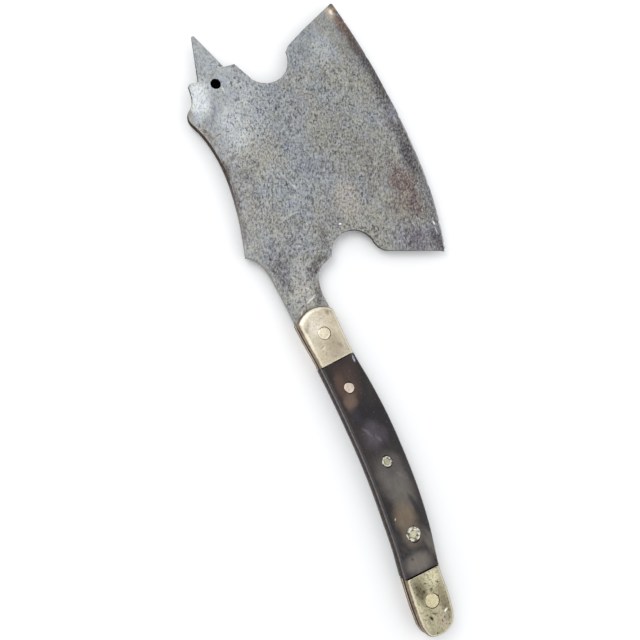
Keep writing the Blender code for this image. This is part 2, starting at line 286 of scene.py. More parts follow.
class Finish:
    """A material on Object coordinates, with short ways to add to it."""

    def __init__(self, name, **constants):
        self.material = bpy.data.materials.new(name)
        self.material.use_nodes = True
        self.tree = self.material.node_tree
        self.shader = self.tree.nodes["Principled BSDF"]
        for socket, value in constants.items():
            self.shader.inputs[socket.replace("_", " ")].default_value = value
        coordinates = self.add("ShaderNodeTexCoord")
        self.place = coordinates.outputs["Object"]
        self.normal = coordinates.outputs["Normal"]

    def add(self, kind, inputs=None, **settings):
        node = self.tree.nodes.new(kind)
        for name, value in settings.items():
            setattr(node, name, value)
        for socket, value in (inputs or {}).items():
            self.feed(node.inputs[socket], value)
        return node

    def feed(self, socket, value):
        if isinstance(value, bpy.types.NodeSocket):
            self.tree.links.new(value, socket)
        else:
            socket.default_value = value

    def set(self, socket, value):
        self.feed(self.shader.inputs[socket], value)

    def mapped(self, scale=(1.0, 1.0, 1.0), turn=0.0, vector=None):
        """Object coordinates turned about Z, then stretched by dividing by a scale."""
        return self.add("ShaderNodeMapping", {
            "Vector": vector or self.place, "Rotation": (0.0, 0.0, turn), "Scale": scale,
        }, vector_type="TEXTURE").outputs[0]

    def noise(self, size, detail=3.0, roughness=0.5, distortion=0.0, vector=None):
        """Soft noise from 0 to 1 whose lumps are about one size across."""
        return self.add("ShaderNodeTexNoise", {
            "Vector": vector or self.place, "Scale": 1.0 / size, "Detail": detail,
            "Roughness": roughness, "Distortion": distortion,
        }).outputs["Fac"]

    def math(self, operation, first, second=0.0, clamp=False):
        node = self.add("ShaderNodeMath", {0: first, 1: second}, operation=operation, use_clamp=clamp)
        return node.outputs[0]

    def between(self, value, low, high, start=0.0, end=1.0):
        """Start below low and end above high, with a smooth step between them."""
        return self.add("ShaderNodeMapRange", {
            "Value": value, "From Min": low, "From Max": high, "To Min": start, "To Max": end,
        }, interpolation_type="SMOOTHSTEP").outputs["Result"]

    def blend(self, share, first, second, kind="MIX"):
        """Second over first, by a share."""
        node = self.add("ShaderNodeMix", {"Factor": share}, data_type="RGBA", blend_type=kind)
        self.feed(node.inputs[6], first)
        self.feed(node.inputs[7], second)
        return node.outputs[2]

    def lay(self, colour, share, strength, tone):
        """A tone over a colour where a mask is, up to a strength."""
        return self.blend(self.math("MULTIPLY", share, strength), colour, tone)

    def times(self, colour, *factors):
        """A colour with each of its channels multiplied by a factor."""
        return self.blend(1.0, colour, opaque(factors), "MULTIPLY")

    def parts(self, vector):
        node = self.add("ShaderNodeSeparateXYZ", {0: vector})
        return node.outputs[0], node.outputs[1], node.outputs[2]

    def warped(self, size, reach):
        """Object coordinates that wander by up to a reach."""
        drift = self.add("ShaderNodeTexNoise", {"Vector": self.place, "Scale": 1.0 / size, "Detail": 2.0})
        centred = self.add("ShaderNodeVectorMath", {0: drift.outputs["Color"], 1: (0.5, 0.5, 0.5)},
                           operation="SUBTRACT").outputs[0]
        scaled = self.add("ShaderNodeVectorMath", {0: centred, "Scale": 2.0 * reach},
                          operation="SCALE").outputs[0]
        return self.add("ShaderNodeVectorMath", {0: self.place, 1: scaled}, operation="ADD").outputs[0]

    def patch(self, vector, x, y, length, width, turn=0.0, core=0.15):
        """1 at the middle of an oval patch in the plan, fading to 0 at its rim."""
        oval = self.add("ShaderNodeMapping", {
            "Vector": vector, "Location": (x * MM, y * MM, 0.0), "Rotation": (0.0, 0.0, math.radians(turn)),
            "Scale": (length * MM, width * MM, 1.0),
        }, vector_type="TEXTURE").outputs[0]
        reach = self.add("ShaderNodeVectorMath", {0: oval}, operation="LENGTH").outputs["Value"]
        return self.between(reach, core, 1.0, 1.0, 0.0)

    def patches(self, colour, vector, rows, core=0.15):
        """Lays oval patches of colour over a colour, each at its strength."""
        for x, y, length, width, turn, strength, tone in rows:
            oval = self.patch(vector, x, y, length, width, turn, core)
            colour = self.lay(colour, oval, strength, shade(*tone))
        return colour

    def upright(self):
        """How far a surface faces up or down, from 0 on a wall to 1 on a face."""
        return self.math("ABSOLUTE", self.parts(self.normal)[2])

    def bump(self, height, distance, strength=1.0, under=None):
        node = self.add("ShaderNodeBump", {
            "Height": height, "Distance": distance, "Strength": strength,
        })
        if under:
            self.feed(node.inputs["Normal"], under)
        return node.outputs["Normal"]


def edge_height(x):
    """Y of the cutting edge at x."""
    across = x - EDGE_LOW_X
    reach, rise = EDGE_TOE if across > 0.0 else EDGE_HEEL
    return CAD_LOW.y + rise * (across / reach) ** 2


def edge_distance(finish):
    """Distance in from the cutting edge, as a node value."""
    x, y, _ = finish.parts(finish.place)
    across = finish.math("SUBTRACT", x, EDGE_LOW_X)
    toe = finish.math("POWER", finish.math("MAXIMUM", across, 0.0), 2.0)
    heel = finish.math("POWER", finish.math("MAXIMUM", finish.math("MULTIPLY", across, -1.0), 0.0), 2.0)
    toe = finish.math("MULTIPLY", toe, EDGE_TOE[1] / EDGE_TOE[0] ** 2)
    heel = finish.math("MULTIPLY", heel, EDGE_HEEL[1] / EDGE_HEEL[0] ** 2)
    edge = finish.math("ADD", finish.math("ADD", toe, heel), CAD_LOW.y)
    return finish.math("SUBTRACT", y, edge)


# Clouds of colour on the blade, the first a painted sheen beside the hanging hole: x, y, length, width in
# mm, turn in degrees, strength, tone
BLADE_CLOUDS_AND_SHEEN = (
    # Painted sheen beside the hanging hole
    (165, 56, 20, 11, -20, 0.85, (208, 212, 214)),
    (186, 42, 26, 12, 0, 0.6, (160, 164, 166)),
    (154, 30, 34, 24, 0, 0.55, (176, 180, 183)),
    (138, 44, 24, 13, 0, 0.75, (186, 190, 192)),
    (113, 38, 22, 16, 10, 0.5, (158, 156, 148)),
    (104, 52, 26, 10, 0, 0.5, (138, 132, 127)),
    (112, 8, 32, 15, 20, 0.5, (144, 148, 155)),
    (135, 12, 32, 20, 0, 0.4, (141, 145, 148)),
    (172, -34, 17, 12, 0, 0.7, (176, 181, 185)),
    (140, -49, 26, 9, 14, 0.4, (144, 140, 128)),
    (139, 61.5, 12, 3, 10, 0.6, (124, 116, 112)),
    (117, 58.5, 17, 4, 0, 0.8, (92, 82, 78)),
    (96, 59.5, 14, 3.6, -5, 0.7, (108, 100, 98)),
    (76, 62.5, 14, 3.4, -12, 0.7, (112, 106, 108)),
    (104, 10, 40, 8, 12, 0.4, (136, 140, 148)),
    (72, -11, 22, 15, 0, 0.65, (172, 165, 159)),
    (64, 5, 10, 12, 0, 0.55, (128, 128, 134)),
    (144, -38, 34, 18, 15, 0.5, (162, 161, 152)),
    (108, -24, 30, 18, 0, 0.4, (138, 139, 137)),
    (88, -34, 28, 16, 0, 0.45, (138, 132, 125)),
    (106, -60, 22, 7, 6, 0.6, (124, 122, 130)),
    (84, -62, 20, 6, 0, 0.85, (84, 80, 84)),
    (69, -51, 24, 14, 0, 0.85, (121, 104, 100)),
    (53, -54.5, 17, 10, 0, 0.8, (120, 105, 104)),
    (57, -42, 16, 9, 0, 0.5, (128, 117, 106)),
    (64, -51, 4, 3.5, 0, 0.7, (168, 162, 150)),
    (38, -36, 16, 12, 0, 0.6, (130, 130, 138)),
    (31, -46, 18, 14, 0, 0.75, (116, 110, 120)),
    (26, -57.5, 13, 6, 0, 0.8, (98, 92, 100)),
    (47, -27, 12, 8, 30, 0.45, (152, 150, 146)),
    (52, 49, 16, 9, 0, 0.6, (116, 114, 118)),
    (40, 50, 14, 7, 0, 0.65, (108, 106, 110)),
    (63, 36, 28, 20, 0, 0.4, (144, 143, 138)),
    (55, 16, 10, 6, -20, 0.6, (114, 110, 110)),
    (38, 27, 14, 5, -62, 0.85, (92, 86, 88)),
    (22, 31.5, 12, 3.6, -5, 0.7, (104, 98, 98)),
    (29, 42, 14, 8, 0, 0.7, (174, 170, 163)),
)
TIP_CLOUDS = (
    (184, -54, 16, 6, 16, 0.7, (128, 104, 92)),
    (172, -57, 18, 4.6, 12, 0.75, (98, 88, 84)),
    (150, -60.5, 24, 4, 9, 0.7, (90, 86, 86)),
    (166, -48, 14, 8, 20, 0.45, (130, 122, 112)),
    (118, -63.5, 12, 5, 7, 0.75, (142, 142, 152)),
    (194.5, -48, 9.5, 6, 0, 0.8, (188, 176, 158)),
    (196, -49.5, 3.6, 2.6, 0, 0.9, (238, 228, 214)),
    (199, -52, 2.4, 2, 0, 0.7, (176, 136, 92)),
)
# Pale scratches and nicks in the blade's face, in the same form
BLADE_SCRATCHES = (
    (99, 24, 12, 0.7, 25, 0.4, (206, 206, 202)),
    (92, 20.5, 3.5, 1.3, 35, 0.5, (214, 214, 210)),
    (76, 28.5, 1, 7.5, 0, 0.35, (206, 206, 202)),
    (59.4, 0.9, 1.5, 0.9, 70, 1, (250, 250, 250)),
    (184, 39, 0.6, 7, -14, 0.35, (212, 214, 216)),
    (20.5, 38.5, 0.9, 6, 24, 0.8, (226, 222, 216)),
    (14.5, 47.5, 0.9, 3, 50, 0.8, (222, 218, 212)),
    (18, 45.5, 0.8, 2.4, 20, 0.7, (50, 48, 48)),
    (21.5, 46, 0.8, 2.2, -10, 0.7, (58, 56, 56)),
    (28, 38, 3, 1, 30, 0.5, (214, 210, 204)),
    (38.4, -61, 2.6, 1, 5, 1, (236, 236, 240)),
    (33, -60.6, 3.4, 0.7, 0, 0.8, (206, 204, 210)),
    (113, -63.5, 6, 1, 6, 0.6, (190, 190, 200)),
)


def forged_steel(colours):
    """Old forged steel: grey clouds, fine grain, dark pits, a stained edge, rusty walls and painted shade
    in the hanging hole.
    """
    steel = Finish("forged_steel", Metallic=1.0)
    wandering = steel.warped(14.0 * MM, 6.0 * MM)
    cloud = steel.between(steel.noise(38.0 * MM, 3.0, 0.6), 0.35, 0.65)
    colour = steel.blend(cloud, opaque(colours.steel_cool), opaque(colours.steel_warm))
    # Clouds of colour, with the painted sheen beside the hanging hole
    colour = steel.patches(colour, wandering, BLADE_CLOUDS_AND_SHEEN, 0.25)

    # Stain along the cutting edge, wider and darker towards the toe
    distance = edge_distance(steel)
    x, _, _ = steel.parts(wandering)
    toward_toe = steel.between(x, 60.0 * MM, 140.0 * MM, 0.5, 1.0)
    ragged = steel.noise(9.0 * MM, 4.0, 0.6)
    reach = steel.math("MULTIPLY", steel.math("ADD", ragged, 0.06), 0.019)
    near = steel.math("DIVIDE", distance, reach)
    stain = steel.math("MULTIPLY", steel.between(near, 0.2, 1.0, 1.0, 0.0), toward_toe)
    colour = steel.lay(colour, stain, 0.85, shade(92, 87, 88))
    colour = steel.patches(colour, wandering, TIP_CLOUDS)

    # Tints, mottling, grain and pits
    tint = steel.between(steel.noise(6.0 * MM, 3.0, 0.6), 0.35, 0.65)
    tint = steel.blend(tint, (0.96, 0.965, 1.0, 1.0), (1.0, 0.99, 0.935, 1.0))
    colour = steel.blend(1.0, colour, tint, "MULTIPLY")
    mottle = steel.between(steel.noise(8.0 * MM, 4.0, 0.65), 0.3, 0.7, 0.0, 1.0)
    colour = steel.blend(mottle, colour, steel.times(colour, 1.26, 1.26, 1.26))
    coarse = steel.patch(wandering, 80.0, -12.0, 120.0, 90.0, 0.0, 0.6)
    coarse = steel.between(coarse, 0.0, 1.0, 0.6, 1.0)
    grain_place = steel.mapped((1.6, 1.0, 1.0), math.radians(-21.0))
    grain = steel.noise(1.2 * MM, 4.0, 0.8, vector=grain_place)
    dark_grain = steel.math("MULTIPLY", steel.between(grain, 0.36, 0.53, 1.0, 0.0), coarse)
    colour = steel.lay(colour, dark_grain, 0.95, steel.times(colour, 0.28, 0.28, 0.30))
    pale_grain = steel.math("MULTIPLY", steel.between(grain, 0.53, 0.66), coarse)
    colour = steel.lay(colour, pale_grain, 0.42, shade(220, 220, 216))
    pit_zone = steel.between(steel.noise(16.0 * MM, 2.0), 0.40, 0.60)
    pits = steel.between(steel.noise(2.6 * MM, 1.0, 0.5, 0.4), 0.61, 0.69)
    pits = steel.math("MULTIPLY", pits, pit_zone)
    colour = steel.lay(colour, pits, 0.65, shade(66, 63, 64))
    bent = steel.warped(5.0 * MM, 0.5 * MM)
    colour = steel.patches(colour, bent, BLADE_SCRATCHES)

    # The honed line along the lower edge, broken where it is dull
    honed = steel.between(distance, 0.5 * MM, 1.4 * MM, 1.0, 0.0)
    honed = steel.math("MULTIPLY", honed, steel.between(x, 95.0 * MM, 135.0 * MM, 0.75, 0.1))
    honed = steel.math("MULTIPLY", honed, steel.between(steel.noise(6.0 * MM, 3.0), 0.35, 0.6))
    colour = steel.blend(honed, colour, shade(196, 194, 200))

    # Walls and rims
    upright = steel.upright()
    layers = steel.noise(1.1 * MM, 4.0, 0.7, vector=steel.mapped((2.6, 2.6, 0.9)))
    rust = steel.blend(steel.between(layers, 0.35, 0.6), shade(50, 43, 41), shade(92, 75, 67))
    rust = steel.blend(steel.between(layers, 0.62, 0.72), rust, shade(134, 124, 114))
    scale = steel.blend(steel.between(layers, 0.4, 0.6), shade(150, 146, 142), shade(186, 183, 178))
    along, across, _ = steel.parts(steel.place)
    rusted = steel.between(along, 58.0 * MM, 122.0 * MM, 0.08, 1.0)
    rusted = steel.math("MAXIMUM", rusted, steel.between(across, 12.0 * MM, 24.0 * MM, 0.85, 0.0))
    rusted = steel.math("MAXIMUM", rusted, steel.between(along, 2.0 * MM, 14.0 * MM, 1.0, 0.0))
    rust = steel.blend(rusted, scale, rust)
    # Painted shade, nearly black, on the wall of the hanging hole
    hole_shade = steel.patch(steel.place, *HANGING_HOLE, HOLE_SHADE_REACH, HOLE_SHADE_REACH, 0.0, 0.8)
    rust = steel.blend(hole_shade, rust, shade(14, 12, 12))
    wall = steel.between(upright, 0.5, 0.97, 1.0, 0.0)
    colour = steel.blend(wall, colour, rust)
    steel.set("Base Color", colour)

    roughness = steel.between(steel.noise(5.0 * MM, 4.0, 0.6), 0.25, 0.75, 0.42, 0.60)
    roughness = steel.math("ADD", roughness, steel.math("MULTIPLY", dark_grain, 0.12))
    roughness = steel.math("ADD", roughness, steel.math("MULTIPLY", wall, 0.3), True)
    steel.set("Roughness", roughness)
    height = steel.math("SUBTRACT", grain, steel.math("MULTIPLY", pits, 0.8))
    swell = steel.bump(steel.noise(9.0 * MM, 2.0), 0.25 * MM, 0.6)
    steel.set("Normal", steel.bump(height, 0.12 * MM, 0.8, swell))
    return steel.material


BOLSTER_STAINS_AND_HIGHLIGHTS = (
    (1, 44, 15, 9, 0, 0.85, (234, 226, 211)),
    # The next four rows are a painted highlight along the left rim and the arch of the front bolster
    (-7, 51.2, 16, 1.9, 2, 1, (250, 242, 220)),
    (9.6, 48.4, 6, 1.8, -50, 1, (250, 242, 222)),
    (12.8, 42.8, 5, 1.8, -75, 1, (250, 243, 224)),
    (12.9, 37, 5, 1.6, 100, 0.9, (248, 240, 220)),
    (5, 48.4, 5, 1.4, -20, 0.7, (176, 168, 140)),
    (-5, 47, 9, 4, 0, 0.6, (204, 195, 177)),
    (-8, 45.5, 8, 3, 0, 0.5, (184, 176, 146)),
    (-9, 37, 9, 9, 0, 0.8, (172, 161, 139)),
    (-16, 36, 9, 12, 0, 0.8, (174, 163, 142)),
    (-14, 30.5, 7, 3, 0, 0.4, (206, 200, 184)),
    (-17, 46, 6, 5, 0, 0.5, (192, 180, 156)),
    (3, 50.5, 3, 2, 0, 0.7, (142, 142, 122)),
    (9.2, 33.4, 2.4, 2, 0, 0.6, (128, 118, 104)),
    (-13, 33.6, 3.5, 1.6, 20, 0.6, (146, 134, 112)),
    (-10.5, 44.5, 0.7, 3, 20, 0.7, (150, 138, 112)),
    (-11.7, 43.8, 0.6, 2.6, 20, 0.7, (240, 230, 208)),
)
BUTT_STAINS_AND_HIGHLIGHTS = (
    (-175, 46, 12, 6, 0, 0.9, (98, 90, 72)),
    # The next two rows are a painted highlight along the left rim of the butt bolster
    (-176, 51.4, 16, 2.2, 0, 1, (236, 226, 196)),
    (-190, 51.6, 10, 2, -8, 0.9, (224, 213, 182)),
    (-186, 39.5, 9, 5, 0, 0.5, (186, 178, 150)),
    (-170, 35, 10, 7, 0, 0.9, (206, 199, 170)),
    (-178, 33, 8, 4, 0, 0.5, (146, 138, 112)),
    (-188, 50, 18, 3, 0, 0.6, (206, 196, 166)),
    (-187.5, 33.5, 12, 5, 0, 0.75, (116, 106, 86)),
    (-188, 44, 7, 5, 0, 0.4, (176, 166, 138)),
    (-196.5, 40, 8, 7, 0, 0.65, (176, 164, 146)),
    (-197, 36, 4, 4, 0, 0.5, (132, 120, 116)),
    (-193, 45.4, 2.6, 1.4, 20, 1, (44, 38, 34)),
    (-191, 42.5, 3.4, 0.9, 60, 0.8, (72, 64, 56)),
    (-176, 43.5, 1.4, 1.4, 0, 0.8, (58, 50, 40)),
    (-177, 38.5, 1.4, 1.4, 0, 0.8, (70, 62, 52)),
    (-192.5, 34.8, 0.9, 2.4, 24, 1, (252, 250, 244)),
)


# The stretch of the handle, along X, in which the front's finish gives way to the butt's
BUTT_TURN = (-120.0 * MM, -60.0 * MM)


def pale_alloy(colours):
    """Worn pale brass: cream in front, greener and more pitted at the butt."""
    alloy = Finish("pale_alloy", Metallic=1.0)
    wandering = alloy.warped(5.0 * MM, 1.2 * MM)
    x, _, _ = alloy.parts(alloy.place)
    butt = alloy.between(x, *BUTT_TURN, 1.0, 0.0)
    colour = alloy.blend(butt, opaque(colours.bolster_front), opaque(colours.bolster_butt))
    cloud = alloy.between(alloy.noise(7.0 * MM, 4.0, 0.6), 0.35, 0.7)
    colour = alloy.lay(colour, cloud, 0.5, alloy.times(colour, 0.80, 0.78, 0.72))
    # Stains, with painted highlights along the bolsters' left rims
    colour = alloy.patches(colour, wandering, BOLSTER_STAINS_AND_HIGHLIGHTS + BUTT_STAINS_AND_HIGHLIGHTS)
    fine = alloy.noise(1.2 * MM, 3.0, 0.7)
    fine_share = alloy.between(x, *BUTT_TURN, 0.85, 0.4)
    hollows = alloy.between(fine, 0.36, 0.52, 1.0, 0.0)
    colour = alloy.lay(colour, hollows, fine_share, alloy.times(colour, 0.56, 0.53, 0.46))
    pit_share = alloy.between(x, *BUTT_TURN, 1.0, 0.35)
    pits = alloy.between(alloy.noise(1.6 * MM, 1.0, 0.5, 0.6), 0.63, 0.69)
    pits = alloy.math("MULTIPLY", pits, pit_share)
    colour = alloy.lay(colour, pits, 0.7, shade(66, 58, 46))
    scratch_place = alloy.mapped((12.0, 0.35, 1.0), math.radians(35.0))
    scratches = alloy.between(alloy.noise(1.0 * MM, 2.0, 0.5, vector=scratch_place), 0.66, 0.74)
    colour = alloy.lay(colour, scratches, 0.4, shade(240, 234, 214))

    # Rounded rims with a painted highlight, partly rubbing wear, and walls in a brown that is partly
    # tarnish and partly painted shade
    upright = alloy.upright()
    rim_highlight_and_wear = alloy.math(
        "MULTIPLY", alloy.between(upright, 0.88, 0.995, 1.0, 0.0), alloy.between(upright, 0.62, 0.82),
    )
    # Painted highlight on the rounded rims, partly rubbing wear
    colour = alloy.lay(colour, rim_highlight_and_wear, 0.75, shade(240, 232, 210))
    # Walls in brown, partly tarnish and partly the painted shade of a darker reflection
    wall = alloy.between(upright, 0.42, 0.72, 1.0, 0.0)
    tarnish_and_shade = alloy.blend(cloud, shade(98, 75, 54), shade(148, 120, 90))
    colour = alloy.lay(colour, wall, 0.92, tarnish_and_shade)
    alloy.set("Base Color", colour)
    roughness = alloy.between(alloy.noise(3.0 * MM, 4.0, 0.65), 0.3, 0.7, 0.28, 0.46)
    alloy.set("Roughness", alloy.math("ADD", roughness, alloy.math("MULTIPLY", pits, 0.3), True))
    height = alloy.math("SUBTRACT", alloy.math("MULTIPLY", fine, 0.4), pits)
    swell = alloy.bump(alloy.noise(6.0 * MM, 2.0), 0.18 * MM, 0.6)
    alloy.set("Normal", alloy.bump(height, 0.08 * MM, 0.7, swell))
    return alloy.material


HORN_CLOUDS_AND_GLINT = (
    (-27, 38, 8, 14, 0, 0.6, (46, 33, 28)),
    (-39, 39, 17, 12, -8, 0.8, (64, 47, 40)),
    (-36, 43.5, 11, 5, -12, 0.5, (84, 63, 52)),
    (-48.5, 41, 8, 6.5, -10, 0.8, (98, 79, 68)),
    (-61.5, 34, 10, 13, 0, 0.8, (14, 10, 16)),
    (-60, 40, 7, 3, 0, 0.4, (40, 38, 52)),
    (-74, 35.5, 13, 9, 0, 0.75, (70, 64, 72)),
    (-70.5, 38.6, 5.5, 1.5, 30, 0.5, (100, 95, 106)),
    (-77, 32.5, 5, 1.2, 20, 0.4, (98, 93, 104)),
    (-76, 28, 8, 3, 0, 0.4, (66, 62, 72)),
    (-103.5, 33.5, 22, 14, 8, 0.85, (90, 86, 82)),
    (-95, 33, 12, 9, 0, 0.7, (66, 62, 62)),
    (-118, 33, 14, 11, 0, 0.7, (92, 87, 81)),
    (-129.5, 36.5, 14, 10, 0, 0.9, (102, 89, 73)),
    (-141.5, 37, 10, 9.5, 0, 0.85, (95, 84, 71)),
    (-158.5, 40, 9.5, 13, 0, 0.95, (100, 93, 87)),
    (-150, 27, 14, 5, 10, 0.8, (90, 85, 80)),
    (-129, 46.2, 8, 3.2, -8, 0.9, (18, 17, 22)),
    (-140, 47.2, 8, 2, -8, 0.75, (40, 36, 38)),
    (-147.5, 44.6, 4.5, 1.8, 40, 0.7, (48, 44, 44)),
    (-150.2, 40, 1.6, 4.6, 0, 0.65, (52, 48, 48)),
    (-148.4, 34, 1.5, 4.4, -30, 0.65, (52, 48, 47)),
    (-142, 29.6, 7, 1.4, 18, 0.65, (50, 46, 46)),
    (-126, 27.5, 14, 2.2, 8, 0.85, (24, 21, 24)),
    (-106, 22.5, 18, 2.6, 10, 0.6, (34, 31, 35)),
    (-154.5, 42.5, 1.3, 1.3, 0, 0.7, (28, 26, 26)),
    (-103.4, 29.5, 3, 1.4, 30, 0.35, (108, 104, 112)),
    (-127, 42.5, 0.9, 0.6, 0, 1, (170, 162, 136)),
    # Painted glint, bluish white, at the horn's corner beside the front bolster
    (-24.6, 28.6, 2.8, 1, -10, 0.9, (168, 170, 190)),
)


def dark_horn(colours):
    """Polished dark horn with smoky brown and grey clouds, and painted highlights on its arris and at one
    corner.
    """
    horn = Finish("polished_horn", Coat_Weight=0.10, Coat_Roughness=0.18, IOR=1.45, Specular_IOR_Level=0.32)
    wandering = horn.warped(7.0 * MM, 2.2 * MM)
    along = horn.mapped((2.2, 1.0, 1.0))
    cloud = horn.between(horn.noise(16.0 * MM, 3.0, 0.6, vector=along), 0.35, 0.7)
    colour = horn.blend(cloud, opaque(colours.horn_dark), opaque(colours.horn_pale))
    # Clouds of colour, with the painted glint at one corner
    colour = horn.patches(colour, wandering, HORN_CLOUDS_AND_GLINT, 0.3)
    upright = horn.upright()
    # Painted highlight, grey, along the rounded arris of the horn
    arris_highlight = horn.math(
        "MULTIPLY", horn.between(upright, 0.90, 0.985, 1.0, 0.0), horn.between(upright, 0.5, 0.75),
    )
    colour = horn.lay(colour, arris_highlight, 0.4, shade(88, 82, 86))
    wall = horn.between(upright, 0.3, 0.7, 1.0, 0.0)
    colour = horn.lay(colour, wall, 0.9, shade(26, 20, 20))
    fibre_place = horn.mapped((10.0, 1.0, 1.0), math.radians(-4.0))
    fibres = horn.noise(1.2 * MM, 3.0, 0.6, vector=fibre_place)
    pale_fibres = horn.between(fibres, 0.4, 0.65)
    colour = horn.lay(colour, pale_fibres, 0.35, horn.times(colour, 1.4, 1.36, 1.34))
    smoke = horn.between(horn.noise(5.0 * MM, 4.0, 0.6), 0.4, 0.7)
    colour = horn.lay(colour, smoke, 0.5, horn.times(colour, 1.35, 1.32, 1.3))
    specks = horn.between(horn.noise(1.0 * MM, 1.0), 0.68, 0.74)
    colour = horn.lay(colour, specks, 0.2, shade(140, 135, 130))
    horn.set("Base Color", colour)
    worn = horn.between(horn.noise(8.0 * MM, 4.0, 0.65), 0.35, 0.7, 0.26, 0.42)
    horn.set("Roughness", worn)
    scratch_place = horn.mapped((9.0, 0.3, 1.0), math.radians(28.0))
    scratches = horn.between(horn.noise(0.9 * MM, 2.0, vector=scratch_place), 0.62, 0.72)
    swell = horn.bump(horn.noise(12.0 * MM, 2.0), 0.2 * MM, 0.6)
    height = horn.math("SUBTRACT", horn.math("MULTIPLY", fibres, 0.5), scratches)
    horn.set("Normal", horn.bump(height, 0.03 * MM, 0.6, swell))
    return horn.material


PIN_TONES = (
    (-2.7, 40.1, 8, 8, 0, 1, (238, 227, 204)),
    (-40.4, 38.4, 7, 7, 0, 1, (210, 194, 184)),
    (-92.5, 33.7, 6, 6, 0, 1, (160, 158, 136)),
    (-140.9, 35.6, 6, 6, 0, 1, (192, 187, 160)),
    (-183.4, 40.6, 9, 9, 0, 1, (200, 190, 158)),
)


def peened_brass(colours):
    """Pale brass rivet heads, dented by the hammer and dulled in the hollows."""
    brass = Finish("peened_brass", Metallic=1.0)
    dents = brass.noise(1.6 * MM, 3.0, 0.6)
    colour = brass.patches(opaque(colours.pin_bright), brass.place, PIN_TONES)
    hollows = brass.between(dents, 0.38, 0.58, 1.0, 0.0)
    colour = brass.lay(colour, hollows, 0.4, opaque(colours.pin_dull))
    specks = brass.between(brass.noise(0.7 * MM, 1.0, 0.5, 0.5), 0.64, 0.72)
    colour = brass.lay(colour, specks, 0.7, shade(92, 82, 62))
    wall = brass.between(brass.upright(), 0.3, 0.8, 1.0, 0.0)
    colour = brass.lay(colour, wall, 0.55, shade(136, 124, 98))
    brass.set("Base Color", colour)
    brass.set("Roughness", brass.between(dents, 0.3, 0.7, 0.46, 0.30))
    brass.set("Normal", brass.bump(dents, 0.12 * MM, 0.7))
    return brass.material


def silvered_washer(colours):
    """Grey-white washer metal with dark pits."""
    silver = Finish("silvered_washer", Metallic=1.0)
    dents = silver.noise(1.9 * MM, 4.0, 0.65)
    raised = silver.between(dents, 0.40, 0.56)
    colour = silver.blend(raised, shade(100, 95, 76), opaque(colours.washer_bright))
    pits = silver.between(silver.noise(0.8 * MM, 1.0, 0.5, 0.5), 0.60, 0.70)
    colour = silver.lay(colour, pits, 0.8, shade(80, 78, 74))
    silver.set("Base Color", colour)
    silver.set("Roughness", silver.between(dents, 0.3, 0.7, 0.5, 0.34))
    silver.set("Normal", silver.bump(dents, 0.15 * MM, 0.8))
    return silver.material


# ---------------------------------------------------------------- what a user may change

def length(name, description, default, low=0.0, high=1.0):
    return FloatProperty(
        name=name, description=description, default=default, min=low, max=high, subtype="DISTANCE",
        unit="LENGTH", precision=5,
    )


def angle(name, description, degrees):
    return FloatProperty(name=name, description=description, default=math.radians(degrees), subtype="ANGLE")


def colour(name, description, red, green, blue):
    return FloatVectorProperty(
        name=name, description=description, default=shade(red, green, blue)[:3], min=0.0, max=1.0,
        size=3, subtype="COLOR",
    )


class CleaverShape(PropertyGroup):
    """Sizes of the wear and the hand work."""

    blade_cell: length("Blade cell", "Spacing of the points on the blade's faces", 1.31 * MM)
    handle_cell: length("Handle cell", "Spacing of the points on the scales and bolsters", 2.0 * MM)
    rim_wear: length("Rim wear", "How far the blade's rims are worn down", 0.28 * MM)
    rim_width: length("Rim width", "Width of the worn band inside the blade's rims", 0.7 * MM)
    blade_hollows: length("Blade hollows", "Depth of the hammer hollows in the blade", 0.22 * MM)
    edge_break: length("Edge break", "Width of the broken edges of scales and bolsters", 0.32 * MM)
    horn_wave: length("Horn wave", "Depth of the unevenness of the horn", 0.22 * MM)
    bolster_wave: length("Bolster wave", "Depth of the unevenness of the bolsters", 0.16 * MM)
    rim_band: length("Rim band", "Width of the plain band inside the rims of scales and bolsters", 0.9 * MM)
    joint_gap: length("Joint gap", "Gap between the horn and the bolsters", 0.45 * MM)
    seam: length("Seam", "Gap between the tang and the pieces on it", 0.08 * MM)
    washer_spread: length("Washer spread", "How far the washers are beaten out past their seats", 0.35 * MM)
    head_sides: IntProperty(name="Head sides", description="Points round a rivet head", default=48, min=12)


class CleaverColours(PropertyGroup):
    """Main tones of the finishes."""

    steel_cool: colour("Cool steel", "The bluer clouds of the blade", 146, 150, 155)
    steel_warm: colour("Warm steel", "The warmer clouds of the blade", 152, 151, 146)
    bolster_front: colour("Front bolster", "Face of the front bolsters", 214, 202, 180)
    bolster_butt: colour("Butt bolster", "Face of the butt bolsters", 168, 162, 136)
    horn_dark: colour("Dark horn", "The darkest clouds of the horn", 22, 17, 19)
    horn_pale: colour("Smoky horn", "The paler clouds of the horn", 42, 35, 35)
    pin_bright: colour("Bright pin", "Raised parts of the rivet heads", 224, 213, 184)
    pin_dull: colour("Dull pin", "Hollows of the rivet heads", 176, 162, 126)
    washer_bright: colour("Washer", "Raised parts of the washers", 212, 210, 197)
    floor: colour("Floor", "The plain floor", 246, 246, 246)


